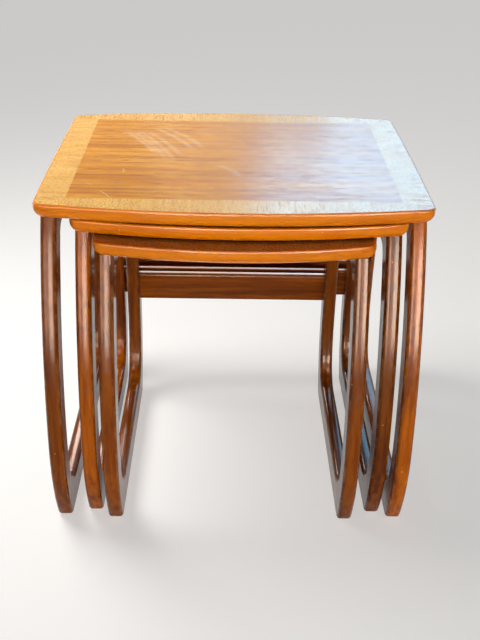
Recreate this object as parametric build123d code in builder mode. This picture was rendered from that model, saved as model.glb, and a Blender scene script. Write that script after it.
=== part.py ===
from build123d import *
import os
from math import atan2, degrees, hypot, sqrt
from types import SimpleNamespace

os.makedirs("parts", exist_ok=True)

# Driving dimensions of the largest table, in millimetres
top_width = 532.0  # between the sharp corners of the top's outline
frame_depth = 518.0  # across the belly of the side frames
table_height = 500.0

# Top: outline, edge and layers
top_setback = 20.5  # middle of the front and rear edges, in from the belly of the frames
edge_bow = 26.0  # swell of the front and rear edges
end_bow = 2.0  # swell of the two ends
corner_radius = 16.0
top_thickness = 21.0
veneer_thickness = 0.7
lipping_width = 15.0  # solid edge strip, measured under the veneer
lipping_show = 3.5  # part of the strip that shows round the veneer
under_round = 14.0  # round under the edge
arris_round = 3.0  # round on top of the edge
border_end = 41.0  # border veneer from the end of the top to the field
border_front = 51.0  # border veneer from the middle of the bow to the field
mitre_gap = 0.15  # line between two strips of border veneer

# Side frames: two bowed legs, a runner and a bearer
leg_thickness = 22.0
leg_depth = 38.0
belly_height = 141.0  # where the legs stand furthest out
leg_top_setback = 72.9  # top of the largest table's legs, in from their belly
leg_lower_radius = 280.0
runner_height = 44.0
bearer_height = 30.0
foot_radius = 14.0
runner_fillet = 52.0  # inner corner between leg and runner
bearer_fillet = 20.0  # inner corner between leg and bearer
edge_radius = 5.0  # soft edges all round the frame
frame_inset = 5.5  # frame set in from the end of the top

# Back rail
rail_height = 50.0
rail_thickness = 15.0
outer_rail_top = 227.0  # above the floor
middle_rail_top = 218.5
inner_rail_top = 233.5
rail_inset = 3.0  # set in from the back of the leg
rail_round = 5.0

# How the tables fit into each other
side_gap = 16.0  # air between the frames of two tables
top_gap = 4.0  # air between two tops
front_step = 12.0  # a smaller table stands this far behind the next one
push_gap = 2.0  # air left between a rear leg and the rail behind it

# Where the two loose tables stand in the nest
middle_shift = 7.0  # to the right of the middle line
inner_shift = 1.0
inner_pull = 30.0  # drawn forward out of its place

# Joints
dowel_diameter = 8.0
dowel_length = 40.0
rail_dowel_depth = 14.0  # into the leg
rail_dowel_gap = 16.0  # wood between the two dowels at each end of a rail
dowel_clearance = 0.1
screw_diameter = 4.5
screw_head_diameter = 9.0
screw_head_height = 3.0
screw_depth = 12.0  # into the core
screw_sink = 10.0  # head sunk into the bearer
screw_dowel_gap = 10.0  # from the end of a bearer's dowel to the middle of a screw
screw_edge = 4.5  # from the middle of a screw to the edge of the core
screw_clearance = 0.15

# Radius of the legs above the belly, from the rise and the setback of the largest table's legs
leg_rise = table_height - top_thickness - belly_height
leg_upper_radius = (leg_rise**2 + leg_top_setback**2) / (2 * leg_top_setback)


def setback(height, inset):
    """How far a leg's curve has drawn in at a height; inset is measured in from its outer face."""
    radius = (leg_upper_radius if height > belly_height else leg_lower_radius) - inset
    return radius - sqrt(radius**2 - (height - belly_height) ** 2)


def make_table(name, rail_top, larger=None, shift=0.0, pull=0.0):
    """Sizes and place of one table, worked out from the next larger one."""
    table = SimpleNamespace(name=name, rail_top=rail_top, x=shift)
    if larger is None:
        table.half_width = top_width / 2
        table.height = table_height
        table.frame_half_depth = frame_depth / 2
        table.nested_y = 0.0
    else:
        back_step = setback(larger.rail_top, 0) + rail_inset + rail_thickness + push_gap
        table.half_width = larger.half_width - leg_thickness - side_gap
        table.height = larger.height - top_thickness - top_gap
        table.frame_half_depth = larger.frame_half_depth - (front_step + back_step) / 2
        table.nested_y = larger.nested_y + (front_step - back_step) / 2
    table.y = table.nested_y - pull
    table.top_half_depth = table.frame_half_depth - top_setback
    table.underside = table.height - top_thickness
    table.frame_half_width = table.half_width - frame_inset
    table.inner_half_width = table.frame_half_width - leg_thickness
    table.runner_half = leg_reach(table, runner_height, leg_depth) - runner_fillet
    table.bearer_half = leg_reach(table, table.underside - bearer_height, leg_depth) - bearer_fillet
    table.rail_y = table.frame_half_depth - setback(table.rail_top, 0) - rail_inset - rail_thickness / 2
    table.field_half_width = table.half_width - border_end
    table.field_half_depth = table.top_half_depth - border_front
    return table


def leg_reach(table, height, inset):
    """Distance of a leg's curve from the table's middle at a height."""
    return table.frame_half_depth - inset - setback(height, inset)


def finish(piece, name):
    """Labels a piece and writes it."""
    piece.label = name
    export_step(piece, f"parts/{name}.step")


def level(table, height):
    """Horizontal plane at a height, centred on a table."""
    return Plane((table.x, table.y, height))


def top_outline(table, inset, height):
    """Outline of a top at a height, inset from its edge: four shallow arcs with rounded corners."""
    half_width = table.half_width - inset
    half_depth = table.top_half_depth - edge_bow - inset
    corners = [(-half_width, -half_depth), (half_width, -half_depth), (half_width, half_depth),
               (-half_width, half_depth)]
    crowns = [(0, -half_depth - edge_bow), (half_width + end_bow, 0), (0, half_depth + edge_bow),
              (-half_width - end_bow, 0)]
    with BuildSketch(level(table, height)) as outline:
        with BuildLine():
            for corner, crown, following in zip(corners, crowns, corners[1:] + corners[:1]):
                ThreePointArc(corner, crown, following)
        make_face()
        if corner_radius > inset:
            fillet(outline.vertices(), corner_radius - inset)
    return outline.sketch


def screw_places(table):
    """Middle of each screw, seen from above the table."""
    across = table.half_width - lipping_width - screw_edge
    along = table.bearer_half - dowel_length / 2 - screw_dowel_gap
    return [(side * across, end * along) for side in (-1, 1) for end in (-1, 1)]


def screw_circles(table, diameter, height):
    """One circle for each screw, at a height."""
    with BuildSketch(level(table, height)) as circles:
        with Locations(screw_places(table)):
            Circle(diameter / 2)
    return circles.sketch


def bore_screws(table, low, high):
    """Cuts the screws' holes between two heights."""
    hole_diameter = screw_diameter + 2 * screw_clearance
    extrude(screw_circles(table, hole_diameter, low), amount=high - low, mode=Mode.SUBTRACT)


def make_top(table):
    """Core, veneers and lipping of one top."""
    veneer_low = table.height - veneer_thickness
    core_low = table.underside + veneer_thickness
    screw_tip = table.underside + screw_depth + screw_clearance

    with BuildPart() as backing:
        extrude(top_outline(table, lipping_width, table.underside), amount=veneer_thickness)
        bore_screws(table, table.underside, core_low)
    finish(backing.part, f"{table.name}_backing_veneer")

    with BuildPart() as core:
        extrude(top_outline(table, lipping_width, core_low), amount=veneer_low - core_low)
        bore_screws(table, core_low, screw_tip)
    finish(core.part, f"{table.name}_top_core")

    with BuildPart() as field:
        with BuildSketch(level(table, veneer_low)):
            Rectangle(2 * table.field_half_width, 2 * table.field_half_depth)
        extrude(amount=veneer_thickness)
    finish(field.part, f"{table.name}_field_veneer")

    corner_x = table.half_width
    corner_y = table.top_half_depth - edge_bow
    mitre_run = (corner_x - table.field_half_width, corner_y - table.field_half_depth)
    with BuildPart() as border:
        extrude(top_outline(table, lipping_show, veneer_low), amount=veneer_thickness)
        with BuildSketch(level(table, veneer_low)):
            Rectangle(2 * table.field_half_width, 2 * table.field_half_depth)
            for side_x in (-1, 1):
                for side_y in (-1, 1):
                    turn = degrees(atan2(side_y * mitre_run[1], side_x * mitre_run[0]))
                    with Locations(Location((side_x * corner_x, side_y * corner_y), turn)):
                        Rectangle(4 * hypot(*mitre_run), mitre_gap)
        extrude(amount=veneer_thickness, mode=Mode.SUBTRACT)
    finish(border.part, f"{table.name}_border_veneer")

    with BuildPart() as rim:
        extrude(top_outline(table, 0, table.underside), amount=top_thickness)
        fillet(rim.faces().sort_by(Axis.Z)[0].edges(), under_round)
        fillet(rim.faces().sort_by(Axis.Z)[-1].edges(), arris_round)
        extrude(top_outline(table, lipping_width, table.underside), amount=top_thickness,
                mode=Mode.SUBTRACT)
        extrude(top_outline(table, lipping_show, veneer_low), amount=veneer_thickness,
                mode=Mode.SUBTRACT)

    # Mitre planes through two neighbouring corners, each facing the strip that it cuts
    strips = {"front": [(-1, -1), (1, -1)], "rear": [(-1, 1), (1, 1)],
              "left": [(-1, -1), (-1, 1)], "right": [(1, -1), (1, 1)]}
    for strip_name, strip_corners in strips.items():
        lengthwise = strip_name in ("front", "rear")
        with BuildPart() as strip:
            add(rim.part)
            for side_x, side_y in strip_corners:
                facing = (-side_x, side_y, 0) if lengthwise else (side_x, -side_y, 0)
                at_corner = (table.x + side_x * corner_x, table.y + side_y * corner_y, 0)
                split(bisect_by=Plane(at_corner, z_dir=facing), keep=Keep.TOP)
        finish(strip.part, f"{table.name}_lipping_{strip_name}")


def loop_outline(table, face, inset, low, high, low_radius, high_radius):
    """Closed outline between two bowed legs, from one height to another, with rounded corners."""
    with BuildSketch(face) as outline:
        with BuildLine():
            for side in (-1, 1):
                for start, end in ((low, belly_height), (belly_height, high)):
                    heights = (start, (start + end) / 2, end)
                    ThreePointArc(*[(side * leg_reach(table, z, inset), z) for z in heights])
            for height in (low, high):
                reach = leg_reach(table, height, inset)
                Line((-reach, height), (reach, height))
        make_face()
        fillet(outline.vertices().group_by(Axis.Y)[0], low_radius)
        if high_radius:
            fillet(outline.vertices().group_by(Axis.Y)[-1], high_radius)
    return outline.sketch


def make_loop(table, side):
    """One whole side frame, before it is cut into its four pieces."""
    outer_x = side * table.frame_half_width
    left_x = min(outer_x, side * table.inner_half_width)
    face = Plane((table.x + left_x, table.y, 0), x_dir=(0, 1, 0), z_dir=(1, 0, 0))
    bearer_low = table.underside - bearer_height
    with BuildPart() as loop:
        extrude(loop_outline(table, face, 0, 0, table.underside, foot_radius, 0),
                amount=leg_thickness)
        extrude(loop_outline(table, face, leg_depth, runner_height, bearer_low, runner_fillet,
                             bearer_fillet), amount=leg_thickness, mode=Mode.SUBTRACT)
        soft_edges = loop.faces().filter_by(Axis.X).edges().filter_by(
            lambda edge: edge.center().Z < table.underside - edge_radius)
        fillet(soft_edges, edge_radius)
    return loop.part


def dowel_places(table):
    """Middle, turn and length of every dowel in a table's frame."""
    across = table.frame_half_width - leg_thickness / 2
    places = []
    for side in (-1, 1):
        for end in (-1, 1):
            for reach, height in ((table.runner_half, runner_height / 2),
                                  (table.bearer_half, table.underside - bearer_height / 2)):
                middle = (table.x + side * across, table.y + end * reach, height)
                places.append((middle, (90, 0, 0)))
        for end in (-1, 1):
            lift = end * (rail_dowel_gap + dowel_diameter) / 2
            inside_leg = dowel_length / 2 - rail_dowel_depth
            middle = (table.x + side * (table.inner_half_width - inside_leg), table.y + table.rail_y,
                      table.rail_top - rail_height / 2 + lift)
            places.append((middle, (0, 90, 0)))
    return places


def bore_dowels(table):
    """Cuts the dowels' holes."""
    for middle, turn in dowel_places(table):
        with Locations(Location(middle, turn)):
            Cylinder(dowel_diameter / 2 + dowel_clearance, dowel_length + 2 * dowel_clearance,
                     mode=Mode.SUBTRACT)


def make_frame(table, side, side_name):
    """Front leg, rear leg, runner and bearer of one side; returns the whole loop."""
    loop = make_loop(table, side)
    across = table.x + side * (table.frame_half_width - leg_thickness / 2)
    bearer_low = table.underside - bearer_height
    split_height = table.underside / 2

    def straight_bar(half_length, low, high, mode):
        with Locations((across, table.y, (low + high) / 2)):
            Box(leg_thickness, 2 * half_length, high - low, mode=mode)

    with BuildPart() as runner:
        add(loop)
        straight_bar(table.runner_half, 0, split_height, Mode.INTERSECT)
        bore_dowels(table)
    finish(runner.part, f"{table.name}_runner_{side_name}")

    with BuildPart() as bearer:
        add(loop)
        straight_bar(table.bearer_half, split_height, table.underside, Mode.INTERSECT)
        bore_dowels(table)
        bore_screws(table, bearer_low, table.underside)
        extrude(screw_circles(table, screw_head_diameter + 2 * screw_clearance, bearer_low),
                amount=screw_sink, mode=Mode.SUBTRACT)
    finish(bearer.part, f"{table.name}_bearer_{side_name}")

    for leg_name, facing in (("front", (0, -1, 0)), ("rear", (0, 1, 0))):
        with BuildPart() as leg:
            add(loop)
            straight_bar(table.runner_half, 0, split_height, Mode.SUBTRACT)
            straight_bar(table.bearer_half, split_height, table.underside, Mode.SUBTRACT)
            split(bisect_by=Plane((0, table.y, 0), z_dir=facing), keep=Keep.TOP)
            bore_dowels(table)
        finish(leg.part, f"{table.name}_{leg_name}_leg_{side_name}")
    return loop


def make_rail(table, loops):
    """Back rail, its ends shaped to the soft edges of the rear legs."""
    with BuildPart() as rail:
        with Locations((table.x, table.y + table.rail_y, table.rail_top - rail_height / 2)):
            Box(2 * (table.inner_half_width + edge_radius), rail_thickness, rail_height)
        fillet(rail.edges().filter_by(Axis.X), rail_round)
        for loop in loops:
            add(loop, mode=Mode.SUBTRACT)
        bore_dowels(table)
    finish(rail.part, f"{table.name}_back_rail")


def make_dowels(table):
    """All dowels of one table."""
    with BuildPart() as dowels:
        for middle, turn in dowel_places(table):
            with Locations(Location(middle, turn)):
                Cylinder(dowel_diameter / 2, dowel_length)
    finish(dowels.part, f"{table.name}_dowels")


def make_screws(table):
    """The four screws that hold the bearers to the top."""
    head_top = table.underside - bearer_height + screw_sink
    head_low = head_top - screw_head_height
    with BuildPart() as screws:
        extrude(screw_circles(table, screw_head_diameter, head_low), amount=screw_head_height)
        extrude(screw_circles(table, screw_diameter, head_top),
                amount=table.underside + screw_depth - head_top)
    finish(screws.part, f"{table.name}_screws")


outer = make_table("outer", outer_rail_top)
middle = make_table("middle", middle_rail_top, outer, middle_shift)
inner = make_table("inner", inner_rail_top, middle, inner_shift, inner_pull)

for table in (outer, middle, inner):
    make_top(table)
    loops = [make_frame(table, -1, "left"), make_frame(table, 1, "right")]
    make_rail(table, loops)
    make_dowels(table)
    make_screws(table)
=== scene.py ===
"""Looks of a nest of three wooden tables: finishes, studio floor, soft light and camera."""
import math

import bpy
from mathutils import Matrix, Vector


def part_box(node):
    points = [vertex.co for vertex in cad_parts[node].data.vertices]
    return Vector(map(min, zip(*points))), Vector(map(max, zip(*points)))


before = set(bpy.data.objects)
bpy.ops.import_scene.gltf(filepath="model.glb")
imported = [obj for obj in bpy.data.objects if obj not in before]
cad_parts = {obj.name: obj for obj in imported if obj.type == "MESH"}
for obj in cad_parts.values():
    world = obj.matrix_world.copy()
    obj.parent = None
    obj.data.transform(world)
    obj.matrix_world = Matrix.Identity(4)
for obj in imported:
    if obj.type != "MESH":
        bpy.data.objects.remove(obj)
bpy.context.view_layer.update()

TABLES = ("outer", "middle", "inner")
SIDES = ("left", "right")
MARKED_TABLE = "outer"  # the one whose top has the rubbed strokes and scratches

# Turns that lay a pattern's X axis along the grain of a piece
GRAIN_ALONG_X = (0.0, 0.0, 0.0)
GRAIN_ALONG_Y = (0.0, 0.0, math.radians(90))
GRAIN_ALONG_Z = (0.0, math.radians(90), 0.0)

# Layers of the grain: a small factor that draws the noise out along it, the scale of the noise, and
# the range of it that is stretched to 0 to 1. The scale of the bands is each wood's own.
GRAIN_LAYERS = {
    "Bands": (0.05, None, 0.38, 0.62),
    "Streaks": (0.04, 130.0, 0.40, 0.60),
    "Lines": (0.025, 420.0, 0.36, 0.64),
    "Pores": (0.1, 330.0, 0.52, 0.66),
}
LINE_STRENGTH = 0.3

# Specular level of the wood: of the tops, and of the frames and rails
LACQUER_SPECULAR = 0.18
FRAME_SPECULAR = 0.12

# Roughness of each finish where it isn't worn
FRAME_ROUGHNESS = 0.14
LIPPING_ROUGHNESS = 0.16
VENEER_ROUGHNESS = 0.2
BACKING_ROUGHNESS = 0.5
DOWEL_ROUGHNESS = 0.7
CORE_ROUGHNESS = 0.85
STEEL_ROUGHNESS = (0.28, 0.5)  # bright and dull patches

# Wear: how pale nicks and rubbed edges are, from 0, as the wood, to 1, as the worn tone
NICK_PALENESS = 0.7
RUB_PALENESS = 0.15
# Wear: what smears, pores and pale marks add to the roughness
SMEAR_ROUGHNESS = 0.06
PORE_ROUGHNESS = 0.1
MARK_ROUGHNESS = 0.2
# Wear: scale of the cells in which nicks are scattered, the share of cells without one, and how far
# from the middle of a cell, in cells, a nick starts to fade and is gone
NICK_SCALE = 60.0
VENEER_NICK_SCALE = 24.0
CELLS_WITHOUT_NICK = 0.92
NICK_FADE = (0.03, 0.09)

# Small relief, in metres: the crown that hand sanding left on the frames, nicks and open pores
CROWN_RADIUS = 0.036
NICK_DEPTH = 0.0001
PORE_DEPTH = 0.00006

# Border of the tops: the slope of its mitres, which is its width at the ends over its width at the
# corners of the sides, and how dark its flecks are
MITRE_SLOPE = 41.0 / 25.0
FLECK_STRENGTH = 0.55

# Pale rubbed strokes on the largest top: start, end and sideways bow, in metres
STROKE_HALF_WIDTH = 0.0060
STROKE_PALENESS = (0.1, 0.42)  # least and most, as streaks break it up
RUBBED_STROKES = (
    ((-0.179, 0.113), (-0.139, 0.115), 0.002),
    ((-0.177, 0.126), (-0.116, 0.005), 0.004),
    ((-0.168, 0.133), (-0.101, -0.015), 0.004),
    ((-0.157, 0.134), (-0.088, -0.024), 0.005),
    ((-0.143, 0.131), (-0.078, -0.004), 0.005),
    ((-0.132, 0.147), (-0.062, 0.030), 0.006),
    ((-0.118, 0.152), (-0.045, 0.035), 0.007),
    ((-0.028, -0.038), (0.010, -0.092), 0.004),
)
# Short bright scratches on the largest top, written the same way
SCRATCH_HALF_WIDTH = 0.0009
SCRATCH_PALENESS = 0.8
SCRATCHES = (
    ((-0.161, -0.062), (-0.158, -0.080), 0.001),
    ((-0.161, -0.119), (-0.156, -0.122), 0.000),
    ((-0.207, -0.126), (-0.196, -0.134), 0.000),
    ((-0.183, -0.158), (-0.167, -0.182), 0.001),
    ((-0.136, 0.070), (-0.123, 0.063), 0.000),
)
# Shape of a stroke: the share of its half width that is at full strength, and how far from its
# middle, as shares of its length, it starts to fade and is gone
STROKE_CORE = 0.3
STROKE_FADE = (0.3, 0.55)

# Studio: how pale the background looks, how much the surroundings light the object, and the floor
BACKGROUND = 0.52
SURROUNDINGS = 0.10
WORLD_COLOUR = (0.97, 0.98, 1.0, 1.0)
FLOOR_HALF_WIDTH = 40.0
FLOOR_COLOUR = (0.57, 0.56, 0.55, 1.0)
FLOOR_GLOW = (1.0, 0.99, 0.97, 1.0)
FLOOR_ROUGHNESS = 0.9

# Lamps: colours, and the point that all but the key lamp face
SKY = (0.26, 0.66, 1.0)
NEUTRAL = (1.0, 0.98, 0.95)
CREAM = (1.0, 0.90, 0.74)
ROSE = (1.0, 0.84, 0.76)
LAMP_TARGET = (0.0, 0.0, 0.4)
KEY_TARGET = (-0.15, 0.0, 0.5)
# Windows and panels that show only in gloss: place, width, height, radiance, colour, and the pieces
# that they are kept to, if any
GLOSS_LAMPS = {
    "window_high": ((0.93, 2.7, 1.8), 1.74, 0.7, 9.6, SKY, None),
    "window_low": ((1.0, 2.7, 1.15), 1.2, 0.6, 4.6, SKY, None),
    "window_side": ((-0.14, 2.7, 1.5), 0.4, 1.0, 1.0, CREAM, None),
    "runner_window": ((-0.65, 2.7, 1.85), 0.7, 0.7, 30.0, ROSE, "frames"),
    "rail_window": ((0.0, 1.6, 1.9), 1.6, 3.0, 10.0, ROSE, "rails"),
    "high_panel": ((0.2, -2.0, 2.9), 3.4, 1.2, 20.0, ROSE, None),
    "front_glow": ((0.2, -2.4, 1.7), 3.4, 1.0, 5.5, ROSE, "solid_wood"),
    "left_panel": ((-1.4, -2.4, 0.65), 1.1, 1.2, 17.0, ROSE, "solid_wood"),
    "left_strip": ((-0.29, -2.4, 0.65), 0.66, 1.2, 46.0, CREAM, "solid_wood"),
    "right_panel": ((0.39, -2.4, 0.65), 0.3, 1.2, 16.0, ROSE, "solid_wood"),
    "right_strip": ((1.05, -2.4, 0.65), 0.76, 1.2, 58.0, CREAM, "solid_wood"),
}
# Even light from above: strength, spread and the two angles by which it is tilted, in degrees
EVEN_STRENGTH = 0.12
EVEN_SPREAD = 50
EVEN_TILT = (-22, -18)

# Camera, fitted to the photograph: angles in degrees, place in metres
IMAGE_HEIGHT = 640
FOCAL_PIXELS = 988.1
CAMERA_PLACE = Vector((-0.011, -1.4289, 0.960))
CAMERA_HEADING = 0.99  # to the right of straight ahead
CAMERA_PITCH = 27.23  # downwards
CAMERA_ROLL = 1.20
SENSOR_HEIGHT = 24.0  # millimetres


def shade(red, green, blue):
    """A colour written as 0 to 255 display values, as linear light with full alpha."""
    linear = [c / 12.92 if c <= 0.04045 else ((c + 0.055) / 1.055) ** 2.4
              for c in (red / 255, green / 255, blue / 255)]
    return (*linear, 1.0)


def deepened(tones, depth):
    """Tones made lighter or darker by one factor."""
    return [(red * depth, green * depth, blue * depth, 1.0) for red, green, blue, _ in tones]


# Dark, middle and light tone of each wood, and the two tones of the board and the steel
FRAME_TONES = (shade(74, 28, 0), shade(134, 62, 0), shade(170, 90, 4))
LIPPING_TONES = (shade(196, 98, 0), shade(220, 120, 0), shade(236, 138, 4))
# The end lippings are paler and more golden than front and rear: painted sheen along their edges
END_LIPPING_SHEEN_TONES = (shade(198, 114, 22), shade(226, 146, 44), shade(240, 168, 72))
FIELD_TONES = (shade(158, 80, 2), shade(214, 136, 20), shade(248, 186, 66))
BORDER_TONES = (shade(176, 104, 22), shade(242, 190, 98), shade(252, 216, 136))
BACKING_TONES = (shade(104, 58, 24), shade(140, 86, 40), shade(154, 102, 54))
DOWEL_TONES = (shade(190, 150, 104), shade(216, 182, 136), shade(226, 196, 154))
CORE_TONES = (shade(150, 118, 80), shade(206, 178, 134))
STEEL_TONES = (shade(150, 146, 138), shade(206, 202, 192))
WORN_FRAME = shade(226, 176, 120)
WORN_TOP = shade(246, 220, 180)
# How light each side frame is, left and right: partly its board, partly painted light and shade
FRAME_BOARD_AND_LIGHT_DEPTHS = {"outer": (0.68, 1.45), "middle": (1.3, 0.68), "inner": (0.8, 0.75)}
# How light the veneers of each top are: those under a larger top are darker, as painted shade
TOP_PAINTED_SHADE_DEPTHS = {"outer": 1.0, "middle": 0.8, "inner": 0.6}


class Graph:
    """Adds nodes to one node tree and joins their sockets."""

    def __init__(self, tree):
        self.tree = tree

    def feed(self, socket, value):
        """Links a socket to another, or sets its plain value."""
        if isinstance(value, bpy.types.NodeSocket):
            self.tree.links.new(value, socket)
        else:
            socket.default_value = value

    def node(self, kind, inputs=None, **settings):
        """One node with its settings and inputs, the inputs by name or by number."""
        node = self.tree.nodes.new(kind)
        for name, value in settings.items():
            setattr(node, name, value)
        for name, value in (inputs or {}).items():
            self.feed(node.inputs[name], value)
        return node

    def math(self, operation, *values):
        """One sum, product or other operation on up to three values."""
        inputs = dict(enumerate(values))
        return self.node("ShaderNodeMath", inputs, operation=operation).outputs[0]

    def vector_math(self, operation, first, second):
        """One operation on two vectors; a dot product comes out as a value."""
        node = self.node("ShaderNodeVectorMath", {0: first, 1: second}, operation=operation)
        return node.outputs["Value" if operation == "DOT_PRODUCT" else "Vector"]

    def remap(self, value, low, high, to_low=0.0, to_high=1.0):
        """A value stretched from one range to another, held at its ends."""
        inputs = {"Value": value, "From Min": low, "From Max": high, "To Min": to_low,
                  "To Max": to_high}
        return self.node("ShaderNodeMapRange", inputs, clamp=True).outputs[0]

    def mix(self, factor, first, second):
        """Two colours mixed."""
        node = self.node("ShaderNodeMix", {0: factor, 6: first, 7: second}, data_type="RGBA")
        return node.outputs[2]

    def mix_vectors(self, factor, first, second):
        """Two vectors mixed."""
        node = self.node("ShaderNodeMix", {0: factor, 4: first, 5: second}, data_type="VECTOR")
        return node.outputs[1]

    def place(self, vector, location=(0, 0, 0), rotation=(0, 0, 0), scale=(1, 1, 1)):
        """A vector stretched, turned and then moved."""
        inputs = {"Vector": vector, "Location": location, "Rotation": rotation, "Scale": scale}
        return self.node("ShaderNodeMapping", inputs).outputs[0]

    def split(self, vector):
        """The X, Y and Z of a vector."""
        return self.node("ShaderNodeSeparateXYZ", {0: vector}).outputs

    def noise(self, vector, scale, detail=2.0, roughness=0.5):
        """Cloudy noise around 0.5."""
        inputs = {"Vector": vector, "Scale": scale, "Detail": detail, "Roughness": roughness}
        return self.node("ShaderNodeTexNoise", inputs).outputs["Fac"]

    def group(self, tree, inputs):
        """A node group with its inputs; returns its outputs."""
        node = self.node("ShaderNodeGroup", node_tree=tree)
        for name, value in inputs.items():
            self.feed(node.inputs[name], value)
        return node.outputs


def new_group(name, inputs, outputs):
    """An empty shader group with named sockets; returns the group, its graph, and its two ends."""
    group = bpy.data.node_groups.new(name, "ShaderNodeTree")
    for socket_name, kind in inputs:
        group.interface.new_socket(socket_name, in_out="INPUT", socket_type=f"NodeSocket{kind}")
    for socket_name in outputs:
        group.interface.new_socket(socket_name, in_out="OUTPUT", socket_type="NodeSocketFloat")
    start = group.nodes.new("NodeGroupInput").outputs
    end = group.nodes.new("NodeGroupOutput").inputs
    return group, Graph(group), start, end


def make_grain_group():
    """Long-grained wood. X runs along the grain, in metres. Each layer is noise that is drawn out
    along X and bent by one slow drift: wide bands, narrow streaks, fine lines and short pores."""
    group, graph, start, end = new_group(
        "wood_grain", [("Vector", "Vector"), ("Drift", "Float"), ("Band Scale", "Float")],
        list(GRAIN_LAYERS))
    vector = start["Vector"]
    slow = graph.noise(graph.place(vector, scale=(0.7, 2.0, 2.0)), scale=3.0, detail=1.0)
    drift = graph.math("MULTIPLY", graph.math("SUBTRACT", slow, 0.5), start["Drift"])
    offset = graph.node("ShaderNodeCombineXYZ", {"Y": drift, "Z": drift}).outputs[0]
    bent = graph.vector_math("ADD", vector, offset)
    for name, (along, scale, low, high) in GRAIN_LAYERS.items():
        drawn_out = graph.place(bent, scale=(along, 1, 1))
        layer = graph.noise(drawn_out, start["Band Scale"] if scale is None else scale)
        graph.feed(end[name], graph.remap(layer, low, high))
    return group


def make_wear_group():
    """Handling marks in lacquer: nicks are the middles of a few scattered cells, and smears are
    broad clouds."""
    group, graph, start, end = new_group(
        "lacquer_wear", [("Vector", "Vector"), ("Nick Scale", "Float")], ["Nicks", "Smears"])
    vector = start["Vector"]
    clouds = graph.noise(graph.place(vector, scale=(0.6, 1.0, 1.0)), scale=9.0, detail=4.0,
                         roughness=0.6)
    cell_inputs = {"Vector": vector, "Scale": start["Nick Scale"]}
    cells = graph.node("ShaderNodeTexVoronoi", cell_inputs).outputs
    drawn = graph.split(cells["Color"])["X"]
    chosen = graph.math("GREATER_THAN", drawn, CELLS_WITHOUT_NICK)
    middle = graph.remap(cells["Distance"], *NICK_FADE, 1.0, 0.0)
    graph.feed(end["Nicks"], graph.math("MULTIPLY", chosen, middle))
    graph.feed(end["Smears"], graph.remap(clouds, 0.35, 0.65))
    return group


def make_edge_group():
    """Rubbed edges: strong where a face turns between lying along an axis and square to it, and
    broken up by noise."""
    group, graph, start, end = new_group(
        "edge_rub", [("Vector", "Vector"), ("Normal", "Vector"), ("Axis", "Vector")], ["Rub"])
    cosine = graph.vector_math("DOT_PRODUCT", start["Normal"], start["Axis"])
    along = graph.math("ABSOLUTE", cosine)
    square = graph.math("SQRT", graph.math("SUBTRACT", 1.0, graph.math("POWER", along, 2.0)))
    turning = graph.remap(graph.math("MINIMUM", along, square), 0.3, 0.65)
    clouds = graph.noise(start["Vector"], scale=45.0, detail=4.0, roughness=0.65)
    broken = graph.remap(clouds, 0.42, 0.62)
    graph.feed(end["Rub"], graph.math("MULTIPLY", turning, broken))
    return group


GRAIN = make_grain_group()
WEAR = make_wear_group()
EDGES = make_edge_group()


def new_material(name):
    """A material with one Principled shader; returns it with its graph, shader and coordinates."""
    material = bpy.data.materials.new(name)
    material.use_nodes = True
    material.node_tree.nodes.clear()
    graph = Graph(material.node_tree)
    shader = graph.node("ShaderNodeBsdfPrincipled")
    graph.node("ShaderNodeOutputMaterial", {"Surface": shader.outputs[0]})
    coordinates = graph.node("ShaderNodeTexCoord").outputs
    return material, graph, shader, coordinates


def grain_colour(graph, vector, tones, pore_darkness, band_scale=26.0, drift=0.012,
                 band_depth=0.75, streak_depth=0.5):
    """Colour of one cut of wood from its dark, middle and light tone; returns it with the grain."""
    grain = graph.group(GRAIN, {"Vector": vector, "Band Scale": band_scale, "Drift": drift})
    dark, middle, light = tones
    bands = graph.math("MULTIPLY_ADD", grain["Bands"], band_depth, 1.0 - band_depth)
    colour = graph.mix(bands, dark, middle)
    streaks = graph.math("MULTIPLY", grain["Streaks"], streak_depth)
    colour = graph.mix(streaks, colour, light)
    lines = graph.math("MULTIPLY", grain["Lines"], LINE_STRENGTH)
    colour = graph.mix(lines, colour, middle)
    pores = graph.math("MULTIPLY", grain["Pores"], pore_darkness)
    return graph.mix(pores, colour, dark), grain


def finish_wood(graph, shader, colour, grain, vector, roughness, worn_tone, nick_scale=NICK_SCALE,
                rub=None, crown=None, pore_depth=0.0, specular=LACQUER_SPECULAR):
    """Lacquer over a wood colour: pale marks where it is worn, uneven gloss, and bump from nicks,
    from pores as deep as given in metres and, where there is one, from the crown of the piece."""
    wear = graph.group(WEAR, {"Vector": vector, "Nick Scale": nick_scale})
    marks = graph.math("MULTIPLY", wear["Nicks"], NICK_PALENESS)
    if rub is not None:
        marks = graph.math("MAXIMUM", marks, graph.math("MULTIPLY", rub, RUB_PALENESS))
    graph.feed(shader.inputs["Base Color"], graph.mix(marks, colour, worn_tone))
    uneven = graph.math("MULTIPLY_ADD", wear["Smears"], SMEAR_ROUGHNESS, roughness)
    uneven = graph.math("MULTIPLY_ADD", grain["Pores"], PORE_ROUGHNESS, uneven)
    uneven = graph.math("MULTIPLY_ADD", marks, MARK_ROUGHNESS, uneven)
    graph.feed(shader.inputs["Roughness"], uneven)
    shader.inputs["Specular IOR Level"].default_value = specular
    height = graph.math("MULTIPLY", grain["Pores"], -pore_depth)
    height = graph.math("MULTIPLY_ADD", wear["Nicks"], -NICK_DEPTH, height)
    if crown is not None:
        height = graph.math("ADD", height, crown)
    bump = graph.node("ShaderNodeBump", {"Height": height, "Strength": 1.0, "Distance": 1.0})
    graph.feed(shader.inputs["Normal"], bump.outputs[0])


def crown_height(graph, coordinates, middle):
    """Height of a face that is sanded to a wide curve about its middle line:
    -(x - middle)^2 / 2R."""
    across = graph.math("SUBTRACT", graph.split(coordinates["Object"])["X"], middle)
    return graph.math("DIVIDE", graph.math("POWER", across, 2.0), -2.0 * CROWN_RADIUS)


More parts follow.
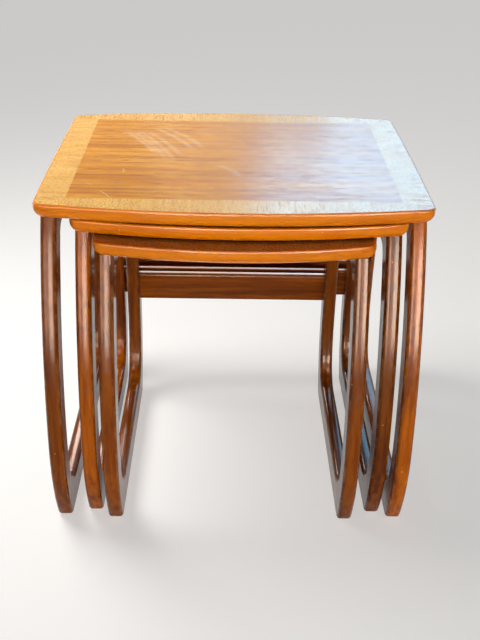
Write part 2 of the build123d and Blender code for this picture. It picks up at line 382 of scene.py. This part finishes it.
def make_frame_wood(name, turn, middle, depth):
    """Red-brown solid wood of one side frame, crowned about the frame's middle plane. The depth
    makes it lighter or darker than the rest: partly its board, partly painted light and shade."""
    material, graph, shader, coordinates = new_material(name)
    vector = graph.place(coordinates["Object"], rotation=turn)
    tones = deepened(FRAME_TONES, depth)
    colour, grain = grain_colour(graph, vector, tones, pore_darkness=0.3)
    rub = graph.group(EDGES, {"Vector": coordinates["Object"], "Normal": coordinates["Normal"],
                              "Axis": (1.0, 0.0, 0.0)})["Rub"]
    crown = crown_height(graph, coordinates, middle)
    finish_wood(graph, shader, colour, grain, coordinates["Object"], FRAME_ROUGHNESS, WORN_FRAME,
                rub=rub, crown=crown, specular=FRAME_SPECULAR)
    return material


def make_rail_wood():
    """The same wood, its grain along the back rails."""
    material, graph, shader, coordinates = new_material("rail_wood")
    vector = coordinates["Object"]
    colour, grain = grain_colour(graph, vector, FRAME_TONES, pore_darkness=0.4)
    finish_wood(graph, shader, colour, grain, vector, FRAME_ROUGHNESS, WORN_FRAME,
                specular=FRAME_SPECULAR)
    return material


def make_lipping_wood(name, turn, tones):
    """Bright orange-brown solid wood round the tops."""
    material, graph, shader, coordinates = new_material(name)
    vector = graph.place(coordinates["Object"], rotation=turn)
    colour, grain = grain_colour(graph, vector, tones, pore_darkness=0.25)
    finish_wood(graph, shader, colour, grain, coordinates["Object"], LIPPING_ROUGHNESS, WORN_TOP)
    return material


def stroke_mask(graph, vector, stroke, half_width):
    """Soft band along a bowed line: u runs from 0 to 1 along it, and the line is 4 bow u (1 - u)
    aside."""
    (start_x, start_y), (end_x, end_y), bow = stroke
    along = Vector((end_x - start_x, end_y - start_y))
    direction = along.normalized()
    from_start = graph.vector_math("SUBTRACT", vector, (start_x, start_y, 0.0))
    distance = graph.vector_math("DOT_PRODUCT", from_start, (*direction, 0.0))
    u = graph.math("DIVIDE", distance, along.length)
    aside = graph.vector_math("DOT_PRODUCT", from_start, (-direction.y, direction.x, 0.0))
    hump = graph.math("MULTIPLY", u, graph.math("SUBTRACT", 1.0, u))
    off_line = graph.math("ABSOLUTE", graph.math("MULTIPLY_ADD", hump, -4.0 * bow, aside))
    from_middle = graph.math("ABSOLUTE", graph.math("SUBTRACT", u, 0.5))
    across_fade = graph.remap(off_line, STROKE_CORE * half_width, half_width, 1.0, 0.0)
    return graph.math("MULTIPLY", across_fade, graph.remap(from_middle, *STROKE_FADE, 1.0, 0.0))


def strokes_mask(graph, vector, strokes, half_width):
    """The strongest of several strokes."""
    masks = [stroke_mask(graph, vector, stroke, half_width) for stroke in strokes]
    strongest = masks[0]
    for mask in masks[1:]:
        strongest = graph.math("MAXIMUM", strongest, mask)
    return strongest


def make_field_veneer(table):
    """Orange-brown veneer in the middle of a top, its grain across the table."""
    material, graph, shader, coordinates = new_material(f"{table}_field_veneer")
    vector = coordinates["Object"]
    # A top kept under a larger one is darkened: painted shade
    tones = deepened(FIELD_TONES, TOP_PAINTED_SHADE_DEPTHS[table])
    colour, grain = grain_colour(graph, vector, tones, pore_darkness=0.65, band_scale=14.0,
                                 drift=0.03)
    if table == MARKED_TABLE:
        rubbed = strokes_mask(graph, vector, RUBBED_STROKES, STROKE_HALF_WIDTH)
        streaks = graph.noise(graph.place(vector, scale=(0.3, 1, 1)), scale=260.0)
        broken = graph.remap(streaks, 0.35, 0.65, *STROKE_PALENESS)
        colour = graph.mix(graph.math("MULTIPLY", rubbed, broken), colour, WORN_TOP)
        scratches = strokes_mask(graph, vector, SCRATCHES, SCRATCH_HALF_WIDTH)
        scratches = graph.math("MULTIPLY", scratches, SCRATCH_PALENESS)
        colour = graph.mix(scratches, colour, WORN_TOP)
    finish_wood(graph, shader, colour, grain, vector, VENEER_ROUGHNESS, WORN_TOP,
                VENEER_NICK_SCALE, pore_depth=PORE_DEPTH)
    return material


def make_border_veneer(table):
    """Paler veneer round a top, its grain square to each edge and its strips meeting on mitres."""
    field_low, field_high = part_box(f"{table}_field_veneer")
    middle = (field_low + field_high) / 2
    half_field = (field_high - field_low) / 2
    material, graph, shader, coordinates = new_material(f"{table}_border_veneer")
    centred = graph.place(coordinates["Object"], location=(-middle.x, -middle.y, 0.0))
    parts = graph.split(centred)
    past_end = graph.math("SUBTRACT", graph.math("ABSOLUTE", parts["X"]), half_field.x)
    past_side = graph.math("SUBTRACT", graph.math("ABSOLUTE", parts["Y"]), half_field.y)
    mitre = graph.math("MULTIPLY", past_side, MITRE_SLOPE)
    end_strip = graph.math("GREATER_THAN", past_end, mitre)
    lengthwise = graph.place(centred, rotation=GRAIN_ALONG_Y)
    vector = graph.mix_vectors(end_strip, lengthwise, centred)
    # A top kept under a larger one is darkened: painted shade
    tones = deepened(BORDER_TONES, TOP_PAINTED_SHADE_DEPTHS[table])
    colour, grain = grain_colour(graph, vector, tones, pore_darkness=0.5, band_scale=40.0,
                                 band_depth=0.2, streak_depth=0.3)
    flecks = graph.noise(graph.place(vector, scale=(0.5, 1, 1)), scale=420.0, roughness=0.6)
    flecks = graph.remap(flecks, 0.48, 0.62, 0.0, FLECK_STRENGTH)
    colour = graph.mix(flecks, colour, tones[0])
    finish_wood(graph, shader, colour, grain, coordinates["Object"], VENEER_ROUGHNESS, WORN_TOP,
                VENEER_NICK_SCALE, pore_depth=PORE_DEPTH)
    return material


def make_backing_veneer():
    """Plain brown veneer under the tops."""
    material, graph, shader, coordinates = new_material("backing_veneer")
    vector = coordinates["Object"]
    colour, grain = grain_colour(graph, vector, BACKING_TONES, pore_darkness=0.5)
    finish_wood(graph, shader, colour, grain, vector, BACKING_ROUGHNESS, WORN_FRAME)
    return material


def make_core_board():
    """Pressed board inside the tops."""
    material, graph, shader, coordinates = new_material("core_board")
    chips = graph.noise(coordinates["Object"], scale=260.0, detail=4.0, roughness=0.7)
    graph.feed(shader.inputs["Base Color"], graph.mix(chips, *CORE_TONES))
    shader.inputs["Roughness"].default_value = CORE_ROUGHNESS
    return material


def make_dowel_wood():
    """Raw pale wood of the dowels."""
    material, graph, shader, coordinates = new_material("dowel_wood")
    vector = coordinates["Object"]
    colour, grain = grain_colour(graph, vector, DOWEL_TONES, pore_darkness=0.3)
    finish_wood(graph, shader, colour, grain, vector, DOWEL_ROUGHNESS, WORN_TOP)
    return material


def make_screw_steel():
    """Plated steel of the screws, dulled in patches."""
    material, graph, shader, coordinates = new_material("screw_steel")
    patches = graph.noise(coordinates["Object"], scale=700.0, detail=3.0)
    graph.feed(shader.inputs["Base Color"], graph.mix(patches, *STEEL_TONES))
    graph.feed(shader.inputs["Roughness"], graph.remap(patches, 0.3, 0.7, *STEEL_ROUGHNESS))
    shader.inputs["Metallic"].default_value = 1.0
    return material


def dress(node, material):
    """Gives a CAD node its material."""
    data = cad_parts[node].data
    data.materials.clear()
    data.materials.append(material)


def dress_tables():
    """Puts every finish on its pieces."""
    lipping_across = make_lipping_wood("lipping_across", GRAIN_ALONG_X, LIPPING_TONES)
    # The end lippings take paler tones: painted sheen
    lipping_lengthwise = make_lipping_wood("lipping_lengthwise", GRAIN_ALONG_Y, END_LIPPING_SHEEN_TONES)
    shared = {
        "backing_veneer": make_backing_veneer(),
        "top_core": make_core_board(),
        "dowels": make_dowel_wood(),
        "screws": make_screw_steel(),
        "back_rail": make_rail_wood(),
        "lipping_front": lipping_across,
        "lipping_rear": lipping_across,
        "lipping_left": lipping_lengthwise,
        "lipping_right": lipping_lengthwise,
    }
    for table in TABLES:
        for node, material in shared.items():
            dress(f"{table}_{node}", material)
        dress(f"{table}_field_veneer", make_field_veneer(table))
        dress(f"{table}_border_veneer", make_border_veneer(table))
        # Each frame's depth is partly its board, partly painted light and shade
        for side, depth in zip(SIDES, FRAME_BOARD_AND_LIGHT_DEPTHS[table]):
            low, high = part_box(f"{table}_runner_{side}")
            middle = (low.x + high.x) / 2
            upright = make_frame_wood(f"{table}_{side}_upright", GRAIN_ALONG_Z, middle, depth)
            lengthwise = make_frame_wood(f"{table}_{side}_lengthwise", GRAIN_ALONG_Y, middle, depth)
            for end in ("front", "rear"):
                dress(f"{table}_{end}_leg_{side}", upright)
            for bar in ("runner", "bearer"):
                dress(f"{table}_{bar}_{side}", lengthwise)


def seen(graph):
    """One for rays that the camera sees, straight or by way of gloss or glass, and zero for the
    rest."""
    ray = graph.node("ShaderNodeLightPath").outputs
    shown = graph.math("MAXIMUM", ray["Is Camera Ray"], ray["Is Glossy Ray"])
    return graph.math("MAXIMUM", shown, ray["Is Transmission Ray"])


def make_floor():
    """Plain pale studio floor."""
    half = FLOOR_HALF_WIDTH
    mesh = bpy.data.meshes.new("studio_floor")
    corners = [(-half, -half, 0), (half, -half, 0), (half, half, 0), (-half, half, 0)]
    mesh.from_pydata(corners, [], [(0, 1, 2, 3)])
    floor = bpy.data.objects.new("studio_floor", mesh)
    bpy.context.scene.collection.objects.link(floor)
    material, graph, shader, _ = new_material("studio_floor")
    shader.inputs["Base Color"].default_value = FLOOR_COLOUR
    shader.inputs["Roughness"].default_value = FLOOR_ROUGHNESS
    shader.inputs["Specular IOR Level"].default_value = 0.0
    shader.inputs["Emission Color"].default_value = FLOOR_GLOW
    graph.feed(shader.inputs["Emission Strength"], graph.math("MULTIPLY", seen(graph), BACKGROUND))
    mesh.materials.append(material)


def make_camera():
    """Camera at the photograph's viewing angle: heading about Z, then pitch, then roll."""
    heading = math.radians(CAMERA_HEADING)
    pitch = math.radians(CAMERA_PITCH)
    roll = math.radians(CAMERA_ROLL)
    level_forward = Vector((math.sin(heading), math.cos(heading), 0))
    level_right = Vector((math.cos(heading), -math.sin(heading), 0))
    upright = Vector((0, 0, 1))
    forward = level_forward * math.cos(pitch) - upright * math.sin(pitch)
    up = upright * math.cos(pitch) + level_forward * math.sin(pitch)
    right = level_right * math.cos(roll) + up * math.sin(roll)
    rolled_up = up * math.cos(roll) - level_right * math.sin(roll)
    data = bpy.data.cameras.new("camera")
    data.sensor_fit = "VERTICAL"
    data.sensor_height = SENSOR_HEIGHT
    data.lens = SENSOR_HEIGHT * FOCAL_PIXELS / IMAGE_HEIGHT
    camera = bpy.data.objects.new("camera", data)
    bpy.context.scene.collection.objects.link(camera)
    turn = Matrix((right, rolled_up, -forward)).transposed()
    camera.matrix_world = Matrix.Translation(CAMERA_PLACE) @ turn.to_4x4()
    bpy.context.scene.camera = camera


def add_softbox(name, place, target, width, height, radiance, colour, lights=True, mirrors=True,
                receivers=None):
    """A rectangular soft lamp that faces a point and isn't seen itself. One that only lights shows
    in no gloss, and one that only mirrors shows in the gloss alone. With receivers, it reaches no
    other objects."""
    data = bpy.data.lights.new(name, "AREA")
    data.shape = "RECTANGLE"
    data.size = width
    data.size_y = height
    data.energy = radiance * math.pi * width * height
    data.color = colour
    lamp = bpy.data.objects.new(name, data)
    lamp.visible_camera = False
    lamp.visible_diffuse = lights
    lamp.visible_glossy = mirrors
    bpy.context.scene.collection.objects.link(lamp)
    aim = (Vector(target) - Vector(place)).to_track_quat("-Z", "Y")
    lamp.matrix_world = Matrix.Translation(Vector(place)) @ aim.to_matrix().to_4x4()
    if receivers is not None:
        lamp.light_linking.receiver_collection = receivers


def gather(name, chosen):
    """A collection of the CAD nodes whose names are chosen, for a lamp that is kept to them."""
    collection = bpy.data.collections.new(name)
    for node_name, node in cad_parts.items():
        if chosen(node_name):
            collection.objects.link(node)
    return collection


def make_surroundings():
    """Dim even light from all round; the camera and the gloss see a pale background instead."""
    world = bpy.data.worlds.new("studio")
    world.use_nodes = True
    background = world.node_tree.nodes["Background"]
    background.inputs["Color"].default_value = WORLD_COLOUR
    graph = Graph(world.node_tree)
    strength = graph.math("MULTIPLY_ADD", seen(graph), BACKGROUND - SURROUNDINGS, SURROUNDINGS)
    graph.feed(background.inputs["Strength"], strength)
    bpy.context.scene.world = world


def make_lamps():
    """A key lamp above on the left, a front panel for the solid wood and an even lamp do the
    lighting. Windows behind and panels in front show in the gloss. Those for the legs and edge
    strips, the runners and the rails are kept to them, so that they don't whiten the tops."""
    kept_to = {
        "solid_wood": gather("solid_wood", lambda name: not name.endswith("veneer")),
        "rails": gather("rails", lambda name: name.endswith("rail")),
        "frames": gather("frames", lambda name: "_leg_" in name or "_runner_" in name),
    }
    add_softbox("key_lamp", (-0.82, 0.25, 1.3), KEY_TARGET, width=0.8, height=0.8, radiance=9.6,
                colour=NEUTRAL, mirrors=False)
    add_softbox("front_panel", (0.5, -2.6, 0.28), LAMP_TARGET, width=3.4, height=0.5, radiance=11.6,
                colour=NEUTRAL, mirrors=False, receivers=kept_to["solid_wood"])
    for name, (place, width, height, radiance, colour, pieces) in GLOSS_LAMPS.items():
        add_softbox(name, place, LAMP_TARGET, width, height, radiance, colour, lights=False,
                    receivers=kept_to.get(pieces))
    data = bpy.data.lights.new("even_lamp", "SUN")
    data.energy = EVEN_STRENGTH
    data.angle = math.radians(EVEN_SPREAD)
    even = bpy.data.objects.new("even_lamp", data)
    even.visible_glossy = False
    bpy.context.scene.collection.objects.link(even)
    even.rotation_euler = (math.radians(EVEN_TILT[0]), math.radians(EVEN_TILT[1]), 0.0)


dress_tables()
make_floor()
make_camera()
make_surroundings()
make_lamps()
bpy.context.scene.view_settings.view_transform = "Standard"
